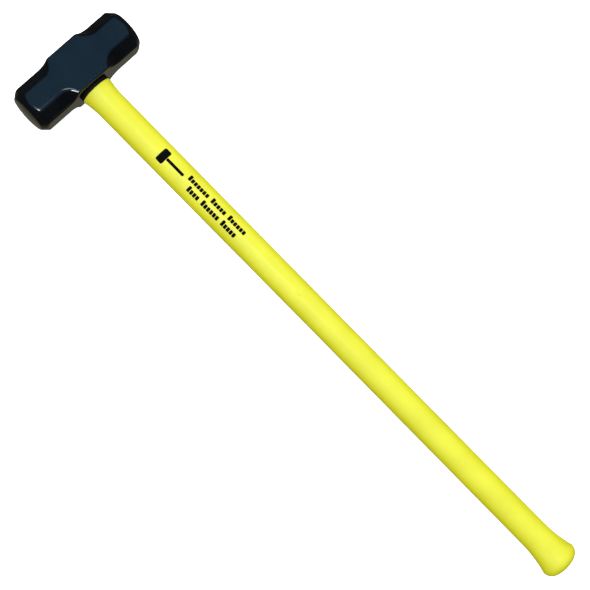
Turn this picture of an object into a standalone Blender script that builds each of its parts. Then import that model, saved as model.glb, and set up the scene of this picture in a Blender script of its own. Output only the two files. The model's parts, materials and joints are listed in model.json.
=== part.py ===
"""Sledgehammer: a drop-forged double-face head bonded with resin to a jacketed fibreglass handle.

Metres. The hammer lies on one cheek of its head: +X runs along the handle from head to butt,
+Y runs along the striking axis, +Z is the upper cheek's normal. The origin is under the middle
of the whole hammer, at the height of the lower cheek.
"""

import math

import bmesh
import bpy
from mathutils import Matrix, Vector

# Whole hammer
TOTAL_LENGTH = 0.9144
GAP = 0.0003  # left between pieces that touch
OVERSHOOT = 0.003  # how far a cutter runs past the solid it cuts

# Head: a square bar whose long edges are chamfered from each end up to a run-out near the middle
HEAD_WIDTH = 0.0603
HEAD_LENGTH = 0.176
CHAMFER_LEG = 0.0154
MIDDLE_HALF = 0.0254
RUNOUT_RADIUS = {1: 0.027, -1: 0.0165}
CROWN_RADIUS = 0.121
FACE_RADIUS = 0.0252
END_CONE_SLOPE = 0.82  # rise in radius for each unit back from the face
TURNED_RADIUS = 0.045  # beyond the bar's corners, so the turning leaves the middle square
SHOULDER_START = 0.034  # the uncut bar is drawn in three lengths: one round the eye and one each side of it

# Eye: an oval hourglass, long along the striking axis
EYE_WAIST = 0.0175
EYE_TOP = 0.0205
EYE_BOTTOM = 0.0188
EYE_OVAL = 0.80

# Handle: half widths in the swing plane; the thickness is the same outline squashed in Z
COLLAR_NECK_HALF = 0.0198
GRIP_HALF = 0.0194
BUTT_NECK_HALF = 0.0197
HANDLE_OVAL = 0.80
COLLAR_RISE = 0.0028
COLLAR_LENGTH = 0.024
COLLAR_POWER = 1.6
BUTT_RISE = 0.0060
BUTT_FLARE_LENGTH = 0.045
BUTT_FLARE_POWER = 2.1
BUTT_DOME = 0.0155
BUTT_DOME_POWER = 2.4

# Core rod, resin and seal
ROD_RADIUS = 0.012
ROD_TOP_RECESS = 0.0010
ROD_BUTT_COVER = 0.020
ROD_CHAMFER = 0.0008
BOND_TOP_RECESS = 0.0022
SEAL_SPIGOT = 0.005
SEAL_FLANGE = 0.0036
SEAL_FLANGE_HALF = 0.0221

# Facets: around each turned piece, and along each curved stretch of an outline
HANDLE_STEPS = 48
EYE_STEPS = 40
ROD_STEPS = 40
CROWN_STEPS = 64
CROWN_ARCS = 8
RUNOUT_ARCS = 10
EYE_ARCS = 8
DOME_ARCS = 9
FLARE_ARCS = 8
COLLAR_ARCS = 6

HALF_WIDTH = HEAD_WIDTH / 2
HALF_LENGTH = HEAD_LENGTH / 2
HEAD_CENTRE = Vector((HALF_WIDTH - TOTAL_LENGTH / 2, 0, HALF_WIDTH))
HEAD_TOP_X = HEAD_CENTRE.x - HALF_WIDTH
HEAD_SHOULDER_X = HEAD_CENTRE.x + HALF_WIDTH
COLLAR_X = HEAD_SHOULDER_X + GAP + SEAL_FLANGE + GAP
BUTT_X = TOTAL_LENGTH / 2
CHAMFER_DISTANCE = (HEAD_WIDTH - CHAMFER_LEG) / math.sqrt(2)
CHAMFER_DEPTH = CHAMFER_LEG / math.sqrt(2)
CROWN_DROP = CROWN_RADIUS - math.sqrt(CROWN_RADIUS**2 - FACE_RADIUS**2)

ALONG_X = Matrix.Rotation(math.pi / 2, 4, "Y")
ALONG_Y = Matrix.Rotation(-math.pi / 2, 4, "X")


def clear_scene():
    for obj in list(bpy.data.objects):
        bpy.data.objects.remove(obj, do_unlink=True)


def new_collection(name):
    collection = bpy.data.collections.new(name)
    bpy.context.scene.collection.children.link(collection)
    return collection


def new_material(name, colour, roughness, metallic=0.0):
    material = bpy.data.materials.new(name)
    material.use_nodes = True
    shader = material.node_tree.nodes["Principled BSDF"]
    shader.inputs["Base Color"].default_value = (*colour, 1)
    shader.inputs["Roughness"].default_value = roughness
    shader.inputs["Metallic"].default_value = metallic
    return material


def new_object(name, bm, place, parts, material=None):
    """An object from a bmesh; one with no material is a cutter."""
    mesh = bpy.data.meshes.new(name)
    bm.to_mesh(mesh)
    bm.free()
    obj = bpy.data.objects.new(name, mesh)
    obj.matrix_world = place
    parts.objects.link(obj)
    if material:
        mesh.materials.append(material)
    else:
        obj.hide_render = True
        obj.display_type = "WIRE"
    return obj


def add_boolean(obj, cutter, operation="DIFFERENCE"):
    modifier = obj.modifiers.new(f"{operation.lower()} {cutter.name}", "BOOLEAN")
    modifier.operation = operation
    modifier.object = cutter


def turned(name, profile, steps, place, parts, material=None):
    """A solid turned about local Z from (radius, height) points listed from the top down."""
    bm = bmesh.new()
    verts = [bm.verts.new((radius, 0, height)) for radius, height in profile]
    for upper, lower in zip(verts, verts[1:]):
        bm.edges.new((upper, lower))
    obj = new_object(name, bm, place, parts, material)
    screw = obj.modifiers.new("turn", "SCREW")
    screw.axis = "Z"
    screw.steps = steps
    screw.render_steps = steps
    screw.use_merge_vertices = True
    screw.merge_threshold = 1e-6
    return obj


def rod_between(name, start_x, end_x, radius, parts, material=None):
    """A round bar along X on the hammer's axis."""
    bm = bmesh.new()
    bmesh.ops.create_cone(
        bm, cap_ends=True, segments=ROD_STEPS, radius1=radius, radius2=radius, depth=end_x - start_x
    )
    place = Matrix.Translation(((start_x + end_x) / 2, 0, HEAD_CENTRE.z)) @ ALONG_X
    return new_object(name, bm, place, parts, material)


def chamfer_cutter(end, turn, cutters):
    """A block that takes one long edge off one end of the bar, with a rounded inner corner."""
    radius = RUNOUT_RADIUS[end]
    reach = math.sqrt(2 * radius * CHAMFER_DEPTH - CHAMFER_DEPTH**2)
    inner = MIDDLE_HALF + reach - radius
    size = Vector((HEAD_WIDTH, HALF_LENGTH, 2 * radius))
    bm = bmesh.new()
    bmesh.ops.create_cube(bm, size=1, matrix=Matrix.Diagonal((*size, 1)))
    bmesh.ops.translate(bm, verts=bm.verts, vec=(0, inner + size.y / 2, CHAMFER_DISTANCE + radius))
    corner = [
        edge
        for edge in bm.edges
        if all(v.co.y < inner + 1e-6 and v.co.z < CHAMFER_DISTANCE + 1e-6 for v in edge.verts)
    ]
    bmesh.ops.bevel(bm, geom=corner, offset=radius, segments=RUNOUT_ARCS, profile=0.5, affect="EDGES")
    if end < 0:
        bmesh.ops.scale(bm, verts=bm.verts, vec=(1, -1, 1))
        bmesh.ops.reverse_faces(bm, faces=bm.faces)
    place = Matrix.Translation(HEAD_CENTRE) @ Matrix.Rotation(math.radians(45 + 90 * turn), 4, "Y")
    return new_object(f"chamfer_{'front' if end > 0 else 'rear'}_{turn}", bm, place, cutters)


def end_turning(cutters):
    """The turned ends: a crowned striking face and the cone behind it, which leaves the middle square."""
    top = []
    face_angle = math.asin(FACE_RADIUS / CROWN_RADIUS)
    centre = HALF_LENGTH - CROWN_RADIUS
    for i in range(CROWN_ARCS + 1):
        angle = face_angle * i / CROWN_ARCS
        top.append((CROWN_RADIUS * math.sin(angle), centre + CROWN_RADIUS * math.cos(angle)))
    cone_length = (TURNED_RADIUS - FACE_RADIUS) / END_CONE_SLOPE
    top.append((TURNED_RADIUS, HALF_LENGTH - CROWN_DROP - cone_length))
    bottom = [(radius, -height) for radius, height in reversed(top)]
    place = Matrix.Translation(HEAD_CENTRE) @ ALONG_Y
    return turned("end_turning", top + bottom, CROWN_STEPS, place, cutters)


def eye_profile(top, bottom, shrink=0.0):
    """The hourglass between two heights above the eye's middle, listed from the top down."""
    points = []
    for i in range(EYE_ARCS + 1):
        height = top + (bottom - top) * i / EYE_ARCS
        mouth = EYE_BOTTOM if height > 0 else EYE_TOP
        radius = EYE_WAIST + (mouth - EYE_WAIST) * (height / HALF_WIDTH) ** 2
        points.append((radius - shrink, height))
    return [(0, top), *points, (0, bottom)]


def oval_place(oval):
    """Local Z along the handle from the middle of the eye, and local X squashed into world Z."""
    return Matrix.Translation(HEAD_CENTRE) @ ALONG_X @ Matrix.Diagonal((oval, 1, 1, 1))


def make_head(parts, cutters):
    """The bar, coned and crowned at both ends, with its edges chamfered and its eye cut."""
    bm = bmesh.new()
    bmesh.ops.create_cube(bm, size=1, matrix=Matrix.Diagonal((HEAD_WIDTH, HEAD_LENGTH + GAP, HEAD_WIDTH, 1)))
    for side in (1, -1):
        whole = [*bm.verts, *bm.edges, *bm.faces]
        bmesh.ops.bisect_plane(bm, geom=whole, plane_co=(0, side * SHOULDER_START, 0), plane_no=(0, 1, 0))
    paint = new_material("black_paint", (0.012, 0.016, 0.020), 0.25)
    head = new_object("head", bm, Matrix.Translation(HEAD_CENTRE), parts, paint)
    add_boolean(head, end_turning(cutters), "INTERSECT")
    for end in (1, -1):
        for turn in range(4):
            add_boolean(head, chamfer_cutter(end, turn, cutters))
    beyond = HALF_WIDTH + OVERSHOOT
    eye = turned("eye", eye_profile(beyond, -beyond), EYE_STEPS, oval_place(EYE_OVAL), cutters)
    add_boolean(head, eye)


def handle_profile():
    """The jacket's outline from butt to collar: (half width, distance along X from the head's centre)."""
    butt = BUTT_X - HEAD_CENTRE.x
    collar = COLLAR_X - HEAD_CENTRE.x
    widest = butt - BUTT_DOME
    outer = BUTT_NECK_HALF + BUTT_RISE
    points = []
    for i in range(DOME_ARCS):
        angle = math.pi / 2 * i / DOME_ARCS
        across = math.sin(angle) ** (2 / BUTT_DOME_POWER)
        along = math.cos(angle) ** (2 / BUTT_DOME_POWER)
        points.append((outer * across, widest + BUTT_DOME * along))
    for i in range(FLARE_ARCS + 1):
        back = i / FLARE_ARCS
        rise = BUTT_RISE * (1 - back) ** BUTT_FLARE_POWER
        points.append((BUTT_NECK_HALF + rise, widest - BUTT_FLARE_LENGTH * back))
    points.append((GRIP_HALF, HALF_LENGTH + (widest - HALF_LENGTH) / 2))
    for i in range(COLLAR_ARCS + 1):
        ahead = i / COLLAR_ARCS
        rise = COLLAR_RISE * ahead**COLLAR_POWER
        points.append((COLLAR_NECK_HALF + rise, collar + COLLAR_LENGTH * (1 - ahead)))
    return [*points, (0, collar)]


def make_handle_jacket(parts, cutters):
    """The moulded jacket: collar, oval grip and domed butt, with a blind bore for the rod."""
    yellow = new_material("yellow_jacket", (0.86, 0.84, 0.03), 0.38)
    jacket = turned("handle_jacket", handle_profile(), HANDLE_STEPS, oval_place(HANDLE_OVAL), parts, yellow)
    bore_end = BUTT_X - ROD_BUTT_COVER + GAP
    bore = rod_between("rod_bore", COLLAR_X - OVERSHOOT, bore_end, ROD_RADIUS + GAP, cutters)
    add_boolean(jacket, bore)


def make_core_rod(parts):
    """The pultruded rod, from just under the head's top to inside the butt."""
    glass = new_material("fibreglass", (0.62, 0.60, 0.48), 0.45)
    start = HEAD_TOP_X + ROD_TOP_RECESS
    rod = rod_between("core_rod", start, BUTT_X - ROD_BUTT_COVER, ROD_RADIUS, parts, glass)
    bevel = rod.modifiers.new("end chamfers", "BEVEL")
    bevel.width = ROD_CHAMFER
    bevel.limit_method = "ANGLE"
    bevel.angle_limit = math.radians(60)


def make_eye_bond(parts, clearance):
    """The cast resin between the rod and the eye's wall."""
    resin = new_material("epoxy_resin", (0.10, 0.075, 0.045), 0.2)
    top = HALF_WIDTH - SEAL_SPIGOT - GAP
    bottom = BOND_TOP_RECESS - HALF_WIDTH
    bond = turned("eye_bond", eye_profile(top, bottom, GAP), EYE_STEPS, oval_place(EYE_OVAL), parts, resin)
    add_boolean(bond, clearance)


def make_eye_seal(parts, clearance):
    """The flanged rubber dam between head and collar, whose spigot shuts the eye for the resin."""
    rubber = new_material("seal_rubber", (0.02, 0.02, 0.02), 0.8)
    flange_top = HALF_WIDTH + GAP + SEAL_FLANGE
    flange_bottom = HALF_WIDTH + GAP
    spigot = eye_profile(flange_bottom, HALF_WIDTH - SEAL_SPIGOT, GAP)
    flange = [(0, flange_top), (SEAL_FLANGE_HALF, flange_top), (SEAL_FLANGE_HALF, flange_bottom)]
    seal = turned("eye_seal", flange + spigot[1:], EYE_STEPS, oval_place(EYE_OVAL), parts, rubber)
    add_boolean(seal, clearance)


def shade_smooth(parts):
    for obj in parts.objects:
        obj.data.shade_smooth()
        obj.data.set_sharp_from_angle(angle=math.radians(30))


def main():
    clear_scene()
    parts = new_collection("sledgehammer")
    cutters = new_collection("cutters")
    clearance_start = HEAD_TOP_X - OVERSHOOT
    clearance = rod_between("rod_clearance", clearance_start, COLLAR_X + OVERSHOOT, ROD_RADIUS + GAP, cutters)
    make_head(parts, cutters)
    make_handle_jacket(parts, cutters)
    make_core_rod(parts)
    make_eye_bond(parts, clearance)
    make_eye_seal(parts, clearance)
    shade_smooth(parts)


main()
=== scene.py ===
import json
import math

import bpy
import numpy as np
from mathutils import Matrix, Vector

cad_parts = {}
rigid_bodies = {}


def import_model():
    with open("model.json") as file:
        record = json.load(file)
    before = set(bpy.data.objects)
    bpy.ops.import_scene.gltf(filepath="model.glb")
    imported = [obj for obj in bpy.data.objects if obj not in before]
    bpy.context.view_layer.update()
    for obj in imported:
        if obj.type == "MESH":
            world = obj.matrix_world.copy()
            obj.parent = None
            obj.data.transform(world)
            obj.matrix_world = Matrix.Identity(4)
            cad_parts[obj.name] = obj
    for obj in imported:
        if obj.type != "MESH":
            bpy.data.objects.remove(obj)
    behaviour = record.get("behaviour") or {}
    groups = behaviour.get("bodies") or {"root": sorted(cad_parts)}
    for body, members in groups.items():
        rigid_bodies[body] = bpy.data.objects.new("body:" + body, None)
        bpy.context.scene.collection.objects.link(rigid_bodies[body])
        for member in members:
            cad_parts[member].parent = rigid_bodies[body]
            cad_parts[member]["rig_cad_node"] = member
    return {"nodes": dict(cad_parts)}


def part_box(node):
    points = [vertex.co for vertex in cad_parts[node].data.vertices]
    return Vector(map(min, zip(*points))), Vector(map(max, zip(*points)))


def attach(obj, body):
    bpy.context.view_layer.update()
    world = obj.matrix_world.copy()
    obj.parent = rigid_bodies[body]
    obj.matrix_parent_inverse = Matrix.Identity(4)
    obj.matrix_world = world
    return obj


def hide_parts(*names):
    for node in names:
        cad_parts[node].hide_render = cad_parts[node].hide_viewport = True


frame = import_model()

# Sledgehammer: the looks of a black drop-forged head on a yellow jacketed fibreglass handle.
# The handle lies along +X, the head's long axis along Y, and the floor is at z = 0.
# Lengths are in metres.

# The head, which repeats the CAD head's surfaces as distances from its centre.
HEAD_HALF = 0.03015
HEAD_HALF_LENGTH = 0.088
CHAMFER_DISTANCE = 0.031749
MIDDLE_HALF = 0.0254
RUNOUT_RADIUS = {1: 0.027, -1: 0.0165}  # at the +Y and the -Y end
CHAMFER_DEPTH = HEAD_HALF * math.sqrt(2.0) - CHAMFER_DISTANCE
CROWN_RADIUS = 0.121
FACE_RADIUS = 0.0252
END_CONE_SLOPE = 0.82
HEAD_SHARP = math.radians(32.0)

# How wide the rounding is on each kind of edge: long edges, run-outs, and the turned cone and face.
FORGED_EDGE = 0.0022
RUNOUT_EDGE = 0.0030
TURNED_EDGE = 0.0005

# The eye's half length along Y at its waist and at its two mouths.
EYE_WAIST = 0.0175
EYE_TOP = 0.0205
EYE_BOTTOM = 0.0188
MOUTH_ROUND = 0.0012
OVAL = 0.80  # the thickness of the eye and of the handle, as a share of their width

# The handle's outline, as half widths at places along X.
COLLAR_X = -0.3927
BUTT_X = 0.4572
COLLAR_NECK_HALF = 0.0198
GRIP_HALF = 0.0194
BUTT_NECK_HALF = 0.0197
COLLAR_RISE = 0.0028
COLLAR_LENGTH = 0.024
COLLAR_POWER = 1.6
BUTT_RISE = 0.0060
BUTT_FLARE_LENGTH = 0.045
BUTT_FLARE_POWER = 2.1
BUTT_DOME = 0.0155
BUTT_DOME_POWER = 2.4
BORE_RADIUS = 0.0123
BORE_END_X = 0.4375
COLLAR_END_X = COLLAR_X + COLLAR_LENGTH
BUTT_BACK_X = BUTT_X - BUTT_DOME
FLARE_START_X = BUTT_BACK_X - BUTT_FLARE_LENGTH
LIP_ROUND = 0.0010
JACKET_SHARP = math.radians(50.0)

# The mark of the moulding gate on the grip, and the half size of the finer mesh round it.
GATE_X = -0.0263
GATE_Y = -0.0018
GATE_PATCH = 0.008
GROOVE_DEPTH = 0.00040
GROOVE_RADIUS = 0.0031
GROOVE_WIDTH = 0.0008
NUB_HEIGHT = 0.00012
NUB_RADIUS = 0.0012

# The print on the grip: how far it stands off the jacket and reaches into it, and its mesh size.
INK_LIFT = 0.00006
INK_ROOT = 0.00005
INK_GRID = 0.0012
# The pictogram's head and handle, each as two corners in plan and a corner radius.
MARK_BLOCKS = (
    ((-0.2760, -0.0108), (-0.2650, 0.0088), 0.0022),
    ((-0.2647, -0.0030), (-0.2350, 0.0010), 0.0012),
)
# Rows of blocks, each as its start along X, its lower edge, and how many blocks each group has.
ROWS = (
    (-0.2285, -0.0002, (7, 5, 6)),
    (-0.2200, -0.0113, (4, 6, 5)),
)
BLOCK_LENGTH = 0.0043
BLOCK_GAP = 0.0008
BLOCK_HEIGHT = 0.0056
BLOCK_CORNER = 0.0009
FIRST_HEIGHT = 0.0078
WORD_GAP = 0.0056

FLOOR_DROP = 0.0002  # the floor lies this far under the part, so that no faces coincide

head_low, head_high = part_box("head")
HEAD_CENTRE = (head_low + head_high) / 2.0
AXIS_Z = HEAD_CENTRE.z


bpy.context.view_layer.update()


# ---------------------------------------------------------------- meshes


def mesh_object(name, points, faces):
    """A smooth-shaded object made of these points and faces."""
    mesh = bpy.data.meshes.new(name)
    mesh.from_pydata([tuple(p) for p in points], [], [tuple(f) for f in faces])
    mesh.validate()
    mesh.shade_smooth()
    obj = bpy.data.objects.new(name, mesh)
    bpy.context.scene.collection.objects.link(obj)
    return obj


def ring_faces(rings, count):
    """Quads between closed rings of points laid out one after another."""
    faces = []
    for ring in range(rings - 1):
        for step in range(count):
            after = (step + 1) % count
            faces.append((
                ring * count + step,
                ring * count + after,
                (ring + 1) * count + after,
                (ring + 1) * count + step,
            ))
    return faces


def rounded_limit(distances, width):
    """The intersection of several half spaces, given as signed distances, with its edges rounded."""
    value = distances[0]
    for distance in distances[1:]:
        near = np.maximum(width - np.abs(value - distance), 0.0) / width
        value = np.maximum(value, distance) + near ** 2 * width / 4.0
    return value


def head_value(x, y, z):
    """Below zero inside the head, whose centre is the origin and whose long axis is Y.

    bar is the square bar, cove is the long chamfers with their round run-outs, and cone and crown
    are the two ends.
    """
    rim_drop = CROWN_RADIUS - math.sqrt(CROWN_RADIUS ** 2 - FACE_RADIUS ** 2)
    rim = HEAD_HALF_LENGTH - rim_drop
    along = np.abs(y)
    corner = (np.abs(x) + np.abs(z)) / math.sqrt(2.0)
    radial = np.hypot(x, z)
    blend = np.where(y > 0.0, RUNOUT_RADIUS[1], RUNOUT_RADIUS[-1])
    start = MIDDLE_HALF + np.sqrt(2.0 * blend * CHAMFER_DEPTH - CHAMFER_DEPTH ** 2)
    cove = blend - np.hypot(np.maximum(start - along, 0.0), CHAMFER_DISTANCE + blend - corner)
    cone = (radial - FACE_RADIUS - END_CONE_SLOPE * (rim - along)) / math.hypot(1.0, END_CONE_SLOPE)
    crown = np.hypot(radial, along - (HEAD_HALF_LENGTH - CROWN_RADIUS)) - CROWN_RADIUS
    inward = np.clip((start - along) / (start - MIDDLE_HALF), 0.0, 1.0)
    bar = rounded_limit((np.abs(x) - HEAD_HALF, np.abs(z) - HEAD_HALF), FORGED_EDGE)
    forged = rounded_limit((bar, cove), FORGED_EDGE + (RUNOUT_EDGE - FORGED_EDGE) * inward)
    return rounded_limit((forged, cone, crown), TURNED_EDGE)


def cast_out(origins, directions, reach):
    """The points where rays leave the head, found by halving the stretch that holds each one."""
    halvings = 40
    near = np.zeros(len(origins))
    far = np.full(len(origins), reach)
    for _ in range(halvings):
        middle = (near + far) / 2.0
        points = origins + directions * middle[:, None]
        outside = head_value(points[:, 0], points[:, 1], points[:, 2]) > 0.0
        far = np.where(outside, middle, far)
        near = np.where(outside, near, middle)
    return origins + directions * near[:, None]


def make_head_mesh():
    """The head, from rays cast out of its long axis: straight out between the caps, then fanning."""
    count = 320
    cap_y = 0.064
    body_rows = 214
    cap_rows = 46
    longest_ray = 0.08
    turns = np.arange(count) * 2.0 * math.pi / count
    rings = []
    for row in range(1, cap_rows):
        tip = math.pi / 2.0 * row / cap_rows
        rings.append((-cap_y, -math.cos(tip), math.sin(tip)))
    for row in range(body_rows + 1):
        rings.append((-cap_y + 2.0 * cap_y * row / body_rows, 0.0, 1.0))
    for row in range(cap_rows - 1, 0, -1):
        tip = math.pi / 2.0 * row / cap_rows
        rings.append((cap_y, math.cos(tip), math.sin(tip)))
    origins = []
    directions = []
    for start, lean, reach in rings:
        for turn in turns:
            origins.append((0.0, start, 0.0))
            directions.append((reach * math.cos(turn), lean, reach * math.sin(turn)))
    points = cast_out(np.array(origins), np.array(directions), longest_ray)
    faces = ring_faces(len(rings), count)
    poles = np.array([(0.0, -HEAD_HALF_LENGTH, 0.0), (0.0, HEAD_HALF_LENGTH, 0.0)])
    last = (len(rings) - 1) * count
    first_pole = len(points)
    for step in range(count):
        after = (step + 1) % count
        faces.append((after, step, first_pole))
        faces.append((last + step, last + after, first_pole + 1))
    points = np.concatenate([points, poles]) + np.array(HEAD_CENTRE)
    obj = mesh_object("head_forging", points, faces)
    cut_eye(obj)
    return obj


def eye_half(height):
    """Half the eye's length along Y, at a height from the head's centre along X."""
    mouth = EYE_TOP if height < 0.0 else EYE_BOTTOM
    return EYE_WAIST + (mouth - EYE_WAIST) * (height / HEAD_HALF) ** 2


def mouth_flare(depth):
    """How much the rounding widens the eye at this depth below a mouth."""
    if depth >= MOUTH_ROUND:
        return 0.0
    return MOUTH_ROUND - math.sqrt(MOUTH_ROUND ** 2 - (MOUTH_ROUND - depth) ** 2)


def cut_eye(head):
    """Cuts the hourglass eye, with a rounded mouth at both ends."""
    count = 160
    half_steps = 30
    mouth_steps = 7
    past_the_head = 0.004
    rows = []
    for step in range(2 * half_steps + 1):
        height = HEAD_HALF * (step / half_steps - 1.0)
        rows.append((height, eye_half(height) + mouth_flare(HEAD_HALF - abs(height))))
    fine = []
    for end in (-1, 1):
        for step in range(mouth_steps):
            depth = MOUTH_ROUND * (step / mouth_steps) ** 2
            height = end * (HEAD_HALF - depth)
            fine.append((height, eye_half(height) + mouth_flare(depth)))
        fine.append((end * (HEAD_HALF + past_the_head), eye_half(end * HEAD_HALF) + MOUTH_ROUND))
    rows = sorted(set(rows[1:-1] + fine))
    points = []
    for height, half in rows:
        for step in range(count):
            turn = 2.0 * math.pi * step / count
            points.append((
                HEAD_CENTRE.x + height,
                HEAD_CENTRE.y + half * math.cos(turn),
                HEAD_CENTRE.z + OVAL * half * math.sin(turn),
            ))
    faces = ring_faces(len(rows), count)
    faces.append(tuple(range(count - 1, -1, -1)))
    faces.append(tuple(range((len(rows) - 1) * count, len(rows) * count)))
    cutter = mesh_object("eye_cutter", points, faces)
    boolean = head.modifiers.new("eye", "BOOLEAN")
    boolean.object = cutter
    boolean.operation = "DIFFERENCE"
    boolean.solver = "MANIFOLD"
    apply_modifiers(head)
    bpy.data.objects.remove(cutter)
    head.data.set_sharp_from_angle(angle=HEAD_SHARP)


def apply_modifiers(obj):
    """Puts what the modifiers make in the object's own mesh."""
    graph = bpy.context.evaluated_depsgraph_get()
    made = bpy.data.meshes.new_from_object(obj.evaluated_get(graph))
    obj.modifiers.clear()
    obj.data = made


def handle_half(x):
    """Half the handle's width at x."""
    if x > BUTT_BACK_X:
        outer = BUTT_NECK_HALF + BUTT_RISE
        rise = min((x - BUTT_BACK_X) / BUTT_DOME, 1.0)
        return outer * (1.0 - rise ** BUTT_DOME_POWER) ** (1.0 / BUTT_DOME_POWER)
    if x > FLARE_START_X:
        flare = ((x - FLARE_START_X) / BUTT_FLARE_LENGTH) ** BUTT_FLARE_POWER
        return BUTT_NECK_HALF + BUTT_RISE * flare
    if x < COLLAR_END_X:
        flare = ((COLLAR_END_X - x) / COLLAR_LENGTH) ** COLLAR_POWER
        return COLLAR_NECK_HALF + COLLAR_RISE * flare
    middle = (COLLAR_END_X + FLARE_START_X) / 2.0
    if x < middle:
        share = (x - COLLAR_END_X) / (middle - COLLAR_END_X)
        return COLLAR_NECK_HALF + (GRIP_HALF - COLLAR_NECK_HALF) * share
    share = (x - middle) / (FLARE_START_X - middle)
    return GRIP_HALF + (BUTT_NECK_HALF - GRIP_HALF) * share


def top_z(x, y):
    """The handle's upper surface above (x, y)."""
    half = handle_half(x)
    return AXIS_Z + OVAL * math.sqrt(max(half * half - y * y, 0.0))


def gate_offset(x, y):
    """The witness of the moulding gate: a ring groove with a nub inside it."""
    away = math.hypot(x - GATE_X, y - GATE_Y)
    groove = -GROOVE_DEPTH * math.exp(-((away - GROOVE_RADIUS) / GROOVE_WIDTH) ** 2)
    nub = NUB_HEIGHT * math.exp(-(away / NUB_RADIUS) ** 4)
    return groove + nub


def jacket_stations():
    """The places along X of the jacket's rings, from its lip to the start of the butt's dome."""
    lip_steps = 6
    stations = []
    for step in range(lip_steps):
        stations.append(COLLAR_X + LIP_ROUND * (1.0 - math.cos(math.pi / 2.0 * step / lip_steps)))
    spans = (
        (COLLAR_X + LIP_ROUND, GATE_X - GATE_PATCH, 119),
        (GATE_X - GATE_PATCH, GATE_X + GATE_PATCH, 40),
        (GATE_X + GATE_PATCH, FLARE_START_X, 129),
        (FLARE_START_X, BUTT_BACK_X, 40),
    )
    for start, end, steps in spans:
        stations += list(np.linspace(start, end, steps, endpoint=False))
    return stations


def make_jacket():
    """The yellow jacket, as rings from its bore out over the collar, along the grip to the butt."""
    count = 288
    dome_steps = 40
    rings = [(BORE_END_X, BORE_RADIUS, BORE_RADIUS), (COLLAR_X, BORE_RADIUS, BORE_RADIUS)]
    for x in jacket_stations():
        drop = 0.0
        if x < COLLAR_X + LIP_ROUND:
            drop = LIP_ROUND - math.sqrt(max(LIP_ROUND ** 2 - (COLLAR_X + LIP_ROUND - x) ** 2, 0.0))
        half = handle_half(x) - drop
        rings.append((x, half, OVAL * half))
    outer = BUTT_NECK_HALF + BUTT_RISE
    for step in range(dome_steps):
        turn = math.pi / 2.0 * step / dome_steps
        half = outer * math.cos(turn) ** (2.0 / BUTT_DOME_POWER)
        x = BUTT_BACK_X + BUTT_DOME * math.sin(turn) ** (2.0 / BUTT_DOME_POWER)
        rings.append((x, half, OVAL * half))
    points = []
    for x, half_y, half_z in rings:
        for step in range(count):
            turn = 2.0 * math.pi * step / count
            y = half_y * math.cos(turn)
            z = half_z * math.sin(turn)
            if z > 0.0 and abs(x - GATE_X) < GATE_PATCH and abs(y) < GATE_PATCH:
                z += gate_offset(x, y)
            points.append((x, y, AXIS_Z + z))
    faces = ring_faces(len(rings), count)
    last = (len(rings) - 1) * count
    points.append((BORE_END_X, 0.0, AXIS_Z))
    points.append((BUTT_X, 0.0, AXIS_Z))
    for step in range(count):
        after = (step + 1) % count
        faces.append((after, step, len(points) - 2))
        faces.append((last + step, last + after, len(points) - 1))
    obj = mesh_object("handle_moulding", points, faces)
    obj.data.flip_normals()
    obj.data.set_sharp_from_angle(angle=JACKET_SHARP)
    return obj


def ink_patch(points, faces, low, high, corner):
    """Adds one block of ink with round corners, from low to high in plan, on the handle's upper side."""
    middle_x = (low[0] + high[0]) / 2.0
    half_x = (high[0] - low[0]) / 2.0
    half_y = (high[1] - low[1]) / 2.0
    columns = 2 + int(2.0 * half_x / INK_GRID)
    rows = 6 + int(2.0 * half_y / INK_GRID)
    first = len(points)
    for lift in (INK_LIFT, -INK_ROOT):
        for row in range(rows + 1):
            aside = -half_y * math.cos(math.pi * row / rows)
            into = max(abs(aside) - (half_y - corner), 0.0)
            reach = half_x - corner + math.sqrt(max(corner ** 2 - into ** 2, 0.0))
            y = (low[1] + high[1]) / 2.0 + aside
            for column in range(columns + 1):
                x = middle_x + reach * (2.0 * column / columns - 1.0)
                points.append((x, y, top_z(x, y) + lift))
    wide = columns + 1
    below = wide * (rows + 1)
    for row in range(rows):
        for column in range(columns):
            a = first + row * wide + column
            faces.append((a, a + 1, a + wide + 1, a + wide))
            faces.append((a + below, a + below + wide, a + below + wide + 1, a + below + 1))
    rim = [first + c for c in range(columns)]
    rim += [first + r * wide + columns for r in range(rows)]
    rim += [first + rows * wide + c for c in range(columns, 0, -1)]
    rim += [first + r * wide for r in range(rows, 0, -1)]
    for one, two in zip(rim, rim[1:] + rim[:1]):
        faces.append((one, one + below, two + below, two))


def make_ink():
    """A plain hammer pictogram and two rows of plain blocks, printed in black."""
    points = []
    faces = []
    for low, high, corner in MARK_BLOCKS:
        ink_patch(points, faces, low, high, corner)
    for start, low, words in ROWS:
        x = start
        for count in words:
            for number in range(count):
                high = low + (BLOCK_HEIGHT if number else FIRST_HEIGHT)
                ink_patch(points, faces, (x, low), (x + BLOCK_LENGTH, high), BLOCK_CORNER)
                x += BLOCK_LENGTH + BLOCK_GAP
            x += WORD_GAP - BLOCK_GAP
    return mesh_object("printed_mark", points, faces)


# ---------------------------------------------------------------- materials


def set_stops(node, stops):
    """Gives a colour ramp node these stops, each a position and a colour."""
    elements = node.color_ramp.elements
    while len(elements) < len(stops):
        elements.new(0.5)
    for element, (position, colour) in zip(elements, stops):
        element.position = position
        element.color = (*colour, 1.0)


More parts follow.
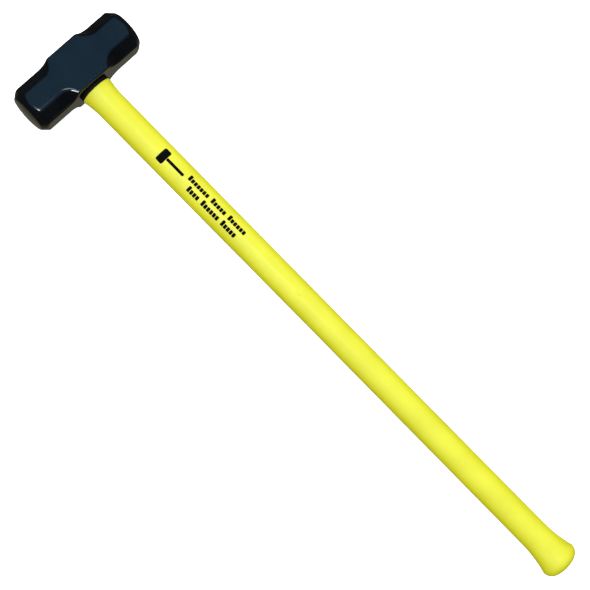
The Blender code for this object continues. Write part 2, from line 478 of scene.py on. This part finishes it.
class Shader:
    """A small helper that adds and links nodes in one material."""

    def __init__(self, name):
        """Starts a new material and finds its surface shader."""
        self.material = bpy.data.materials.new(name)
        self.material.use_nodes = True
        self.tree = self.material.node_tree
        self.surface = self.tree.nodes["Principled BSDF"]
        self.place = self.add("ShaderNodeTexCoord").outputs["Object"]

    def add(self, kind):
        """A new node of this kind."""
        return self.tree.nodes.new(kind)

    def link(self, out, into):
        """Joins an output to an input."""
        self.tree.links.new(out, into)

    def noise(self, scale, detail):
        """Noise from 0 to 1 over the object's own coordinates."""
        node = self.add("ShaderNodeTexNoise")
        node.inputs["Scale"].default_value = scale
        node.inputs["Detail"].default_value = detail
        self.link(self.place, node.inputs["Vector"])
        return node.outputs["Fac"]

    def ramp(self, fac, *stops):
        """A colour that runs through these stops as fac goes from 0 to 1."""
        node = self.add("ShaderNodeValToRGB")
        set_stops(node, stops)
        self.link(fac, node.inputs["Fac"])
        return node.outputs["Color"]

    def spread(self, fac, low, high):
        """A number that goes from low to high as fac goes from 0 to 1."""
        node = self.add("ShaderNodeMapRange")
        node.inputs["To Min"].default_value = low
        node.inputs["To Max"].default_value = high
        self.link(fac, node.inputs["Value"])
        return node.outputs["Result"]

    def bump(self, height, distance, strength, under=None):
        """A normal bumped by this height, on top of the bumps in under."""
        node = self.add("ShaderNodeBump")
        node.inputs["Distance"].default_value = distance
        node.inputs["Strength"].default_value = strength
        self.link(height, node.inputs["Height"])
        if under:
            self.link(under, node.inputs["Normal"])
        return node.outputs["Normal"]

    def put(self, **sockets):
        """Links or sets the surface's inputs, named with _ for each space."""
        for key, value in sockets.items():
            socket = self.surface.inputs[key.replace("_", " ")]
            if isinstance(value, bpy.types.NodeSocket):
                self.link(value, socket)
            else:
                socket.default_value = value


def head_paint():
    """Glossy black paint over forged steel, with a blue tinge and a little orange peel."""
    shader = Shader("head_paint")
    colour = shader.ramp(
        shader.noise(35.0, 5.0),
        (0.35, (0.0018, 0.0022, 0.0028)),
        (0.65, (0.0030, 0.0036, 0.0044)),
    )
    rough = shader.spread(shader.noise(90.0, 6.0), 0.07, 0.15)
    peel = shader.bump(shader.noise(300.0, 2.0), 0.00002, 0.5)
    forged = shader.bump(shader.noise(45.0, 2.0), 0.0002, 0.4, peel)
    shader.put(Base_Color=colour, Roughness=rough, Normal=forged)
    return shader.material


def yellow_jacket():
    """Yellow polymer with a fine moulded grain."""
    shader = Shader("jacket_yellow")
    colour = shader.ramp(
        shader.noise(28.0, 5.0),
        (0.35, (0.640, 0.588, 0.013)),
        (0.65, (0.680, 0.626, 0.017)),
    )
    rough = shader.spread(shader.noise(160.0, 4.0), 0.30, 0.42)
    grain = shader.bump(shader.noise(900.0, 2.0), 0.00005, 0.6)
    wave = shader.bump(shader.noise(45.0, 2.0), 0.0004, 0.25, grain)
    shader.put(Base_Color=colour, Roughness=rough, Normal=wave)
    return shader.material


def plain_noise_material(name, dark, light, scale, roughness, bump_depth, gleam=0.5):
    """A surface whose colour, roughness and relief vary a little, ever finer in that order."""
    shader = Shader(name)
    colour = shader.ramp(shader.noise(scale, 5.0), (0.35, dark), (0.65, light))
    rough = shader.spread(shader.noise(scale * 2.3, 4.0), *roughness)
    normal = shader.bump(shader.noise(scale * 6.0, 3.0), bump_depth, 0.6)
    shader.put(Base_Color=colour, Roughness=rough, Normal=normal, Specular_IOR_Level=gleam)
    return shader.material


def dress(obj, material, slot, *nodes):
    """Gives a piece its material and hides the CAD nodes that it stands for; slot is not used."""
    obj.data.materials.clear()
    obj.data.materials.append(material)
    if nodes:
        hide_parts(*nodes)
    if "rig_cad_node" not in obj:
        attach(obj, "root")


# ---------------------------------------------------------------- stage


def floor_rings(around):
    """The floor's rings from inside to outside: flat, then a quarter round, then a wall."""
    inner = 1.0
    flat = 7.0
    curve = 4.0
    wall = 14.0
    curve_steps = 12
    profile = [(inner, 0.0), (flat, 0.0)]
    for step in range(1, curve_steps + 1):
        turn = math.pi / 2.0 * step / curve_steps
        profile.append((flat + curve * math.sin(turn), curve * (1.0 - math.cos(turn))))
    profile.append((flat + curve, wall))
    points = []
    for radius, height in profile:
        for step in range(around):
            turn = 2.0 * math.pi * step / around
            points.append((radius * math.cos(turn), radius * math.sin(turn), height))
    return points, len(profile)


def make_floor():
    """White paper: flat under the hammer, then curving up all round into a backdrop.

    It gives off some light to the camera, but shows in no reflection and bounces no light.
    """
    around = 96
    points, rings = floor_rings(around)
    faces = [tuple(reversed(range(around))), *ring_faces(rings, around)]
    mesh = bpy.data.meshes.new("floor")
    mesh.from_pydata(points, [], faces)
    mesh.shade_smooth()
    floor = bpy.data.objects.new("floor", mesh)
    floor.location.z = -FLOOR_DROP
    bpy.context.scene.collection.objects.link(floor)
    shader = Shader("floor_paper")
    colour = shader.ramp(
        shader.noise(3.0, 3.0),
        (0.3, (0.86, 0.86, 0.86)),
        (0.7, (0.88, 0.88, 0.88)),
    )
    glow = (1.0, 1.0, 1.0, 1.0)
    shader.put(Base_Color=colour, Roughness=0.9, Emission_Color=glow, Emission_Strength=0.75)
    mesh.materials.append(shader.material)
    floor.visible_glossy = False
    floor.visible_diffuse = False
    floor.visible_shadow = False


def make_light(name, place, aim, size, power, colour):
    """A rectangular soft box at place that faces aim."""
    data = bpy.data.lights.new(name, "AREA")
    data.shape = "RECTANGLE"
    data.size, data.size_y = size
    data.energy = power
    data.color = colour
    light = bpy.data.objects.new(name, data)
    bpy.context.scene.collection.objects.link(light)
    light.location = place
    light.rotation_euler = (Vector(aim) - Vector(place)).to_track_quat("-Z", "Y").to_euler()
    return light


def make_world():
    """A studio room: bluish above, dark at the horizon, and a dull warm ground."""
    world = bpy.data.worlds.new("studio")
    world.use_nodes = True
    tree = world.node_tree
    place = tree.nodes.new("ShaderNodeTexCoord")
    split = tree.nodes.new("ShaderNodeSeparateXYZ")
    spread = tree.nodes.new("ShaderNodeMapRange")
    ramp = tree.nodes.new("ShaderNodeValToRGB")
    spread.inputs["From Min"].default_value = -1.0
    set_stops(ramp, (
        (0.05, (0.25, 0.235, 0.17)),
        (0.22, (0.045, 0.045, 0.036)),
        (0.70, (0.026, 0.030, 0.034)),
        (0.97, (0.16, 0.44, 0.78)),
    ))
    tree.links.new(place.outputs["Generated"], split.inputs["Vector"])
    tree.links.new(split.outputs["Z"], spread.inputs["Value"])
    tree.links.new(spread.outputs["Result"], ramp.inputs["Fac"])
    tree.links.new(ramp.outputs["Color"], tree.nodes["Background"].inputs["Color"])
    bpy.context.scene.world = world


def make_camera():
    """Looks down on the hammer from its -Y side, turned so that the handle runs to the lower right."""
    roll = 0.79301
    tilt_x = 0.22001
    tilt_y = 0.01417
    distance = 1.62
    past_the_head = Vector((0.3979, -0.0029, 0.0))
    aim = HEAD_CENTRE + past_the_head
    tilt = Matrix.Rotation(tilt_x, 3, "X") @ Matrix.Rotation(tilt_y, 3, "Y")
    turn = tilt @ Matrix.Rotation(roll, 3, "Z")
    data = bpy.data.cameras.new("photo_view")
    data.sensor_width = 36.0
    data.lens = 77.80
    camera = bpy.data.objects.new("photo_view", data)
    camera.matrix_world = Matrix.Translation(aim + turn @ Vector((0.0, 0.0, distance))) @ turn.to_4x4()
    bpy.context.scene.collection.objects.link(camera)
    bpy.context.scene.camera = camera


def make_fill():
    """A wide soft sky that lights the piece but leaves no reflection in the paint."""
    data = bpy.data.lights.new("sky_fill", "SUN")
    data.energy = 2.75
    data.angle = math.radians(150.0)
    light = bpy.data.objects.new("sky_fill", data)
    bpy.context.scene.collection.objects.link(light)
    light.visible_glossy = False


def make_lights():
    """One soft box above, one at each side, and two that show only as highlights in gloss.

    The two at the sides leave no reflections, and the glint falls on the head alone.
    """
    white = (1.0, 0.99, 0.97)
    warm = (1.0, 0.96, 0.88)
    cool = (0.92, 0.96, 1.0)
    blue = (0.84, 0.93, 1.0)
    centre = (0.0, 0.0, 0.0)
    grip = (-0.3, 0.0, 0.0)
    head = (-0.43, -0.03, 0.05)
    wide = (3.0, 3.0)
    make_light("overhead", (-0.42, -0.13, 2.7), grip, (0.8, 0.8), 10.5, white)
    near_side = make_light("near_side", (-0.6, -3.2, 2.6), centre, wide, 50.0, warm)
    near_side.visible_glossy = False
    side = make_light("side", (-0.6, 3.2, 2.2), centre, wide, 66.0, white)
    side.visible_glossy = False
    window = make_light("window", (-0.46, -1.45, 2.7), head, (0.45, 0.3), 4.0, cool)
    window.visible_diffuse = False
    glint = make_light("glint", (0.26, -1.89, 2.21), head, (0.9, 0.9), 105.0, blue)
    glint.visible_diffuse = False
    lit = bpy.data.collections.new("head_only")
    lit.objects.link(bpy.data.objects["head_forging"])
    glint.light_linking.receiver_collection = lit


def make_stage():
    """The floor, the world and the lights."""
    make_floor()
    make_world()
    make_fill()
    make_lights()
    scene = bpy.context.scene
    scene.view_settings.view_transform = "Standard"
    scene.view_settings.look = "None"


def main():
    """Builds and dresses each piece, then sets the stage."""
    dress(make_head_mesh(), head_paint(), "head_paint", "head")
    dress(make_jacket(), yellow_jacket(), "jacket", "handle_jacket")
    ink = plain_noise_material(
        "print_ink",
        dark=(0.0015, 0.0015, 0.0015),
        light=(0.003, 0.003, 0.003),
        scale=300.0,
        roughness=(0.75, 0.9),
        bump_depth=0.00002,
        gleam=0.06,
    )
    dress(make_ink(), ink, "jacket")
    nodes = frame["nodes"]
    rubber = plain_noise_material(
        "seal_rubber",
        dark=(0.004, 0.004, 0.004),
        light=(0.008, 0.008, 0.007),
        scale=120.0,
        roughness=(0.75, 0.9),
        bump_depth=0.00005,
        gleam=0.2,
    )
    resin = plain_noise_material(
        "epoxy_resin",
        dark=(0.020, 0.018, 0.014),
        light=(0.040, 0.034, 0.026),
        scale=80.0,
        roughness=(0.12, 0.3),
        bump_depth=0.00008,
    )
    fibre = plain_noise_material(
        "fibreglass",
        dark=(0.42, 0.40, 0.20),
        light=(0.62, 0.60, 0.34),
        scale=600.0,
        roughness=(0.4, 0.6),
        bump_depth=0.00005,
    )
    dress(nodes["eye_seal"], rubber, "seal_rubber")
    dress(nodes["eye_bond"], resin, "epoxy")
    dress(nodes["core_rod"], fibre, "fibreglass")
    make_stage()
    make_camera()
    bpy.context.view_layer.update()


main()
